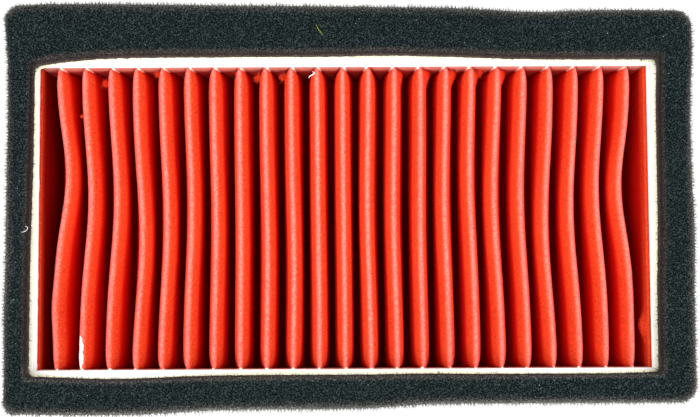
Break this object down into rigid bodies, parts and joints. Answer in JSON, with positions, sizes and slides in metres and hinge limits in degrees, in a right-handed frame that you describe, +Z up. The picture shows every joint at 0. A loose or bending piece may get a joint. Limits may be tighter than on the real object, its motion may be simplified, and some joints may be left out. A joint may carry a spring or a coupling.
{
  "type": "panel air filter",
  "caption": "Rectangular panel air filter for a motorcycle: red pleated felt sealed in a white rail frame, with a soft charcoal foam gasket bonded to its flange.",
  "frame": {"origin": "middle of the outline, on the surface that the element lies on", "axes": "+Z up towards the dirty side and the foam, +X along the long side, +Y towards the side with the widest strip of foam; the pleats run along Y"},
  "size_m": [0.2102, 0.1238, 0.0353],
  "materials": {
    "frame": "satin",
    "adhesive": "satin",
    "screen_wire": "satin",
    "red_felt": "matte",
    "contact_adhesive": "matte",
    "gasket_foam": "matte"
  },
  "bodies": {
    "root": {"rear_frame_rail": "frame", "front_frame_rail": "frame", "left_frame_rail": "frame", "right_frame_rail": "frame", "corner_glue_beads": "adhesive", "screen_cross_wires": "screen_wire", "screen_long_wires": "screen_wire", "pleated_media": "red_felt", "rear_end_seal": "adhesive", "front_end_seal": "adhesive", "left_edge_seal": "adhesive", "right_edge_seal": "adhesive", "gasket_adhesive": "contact_adhesive", "foam_gasket": "gasket_foam"}
  },
  "joints": []
}
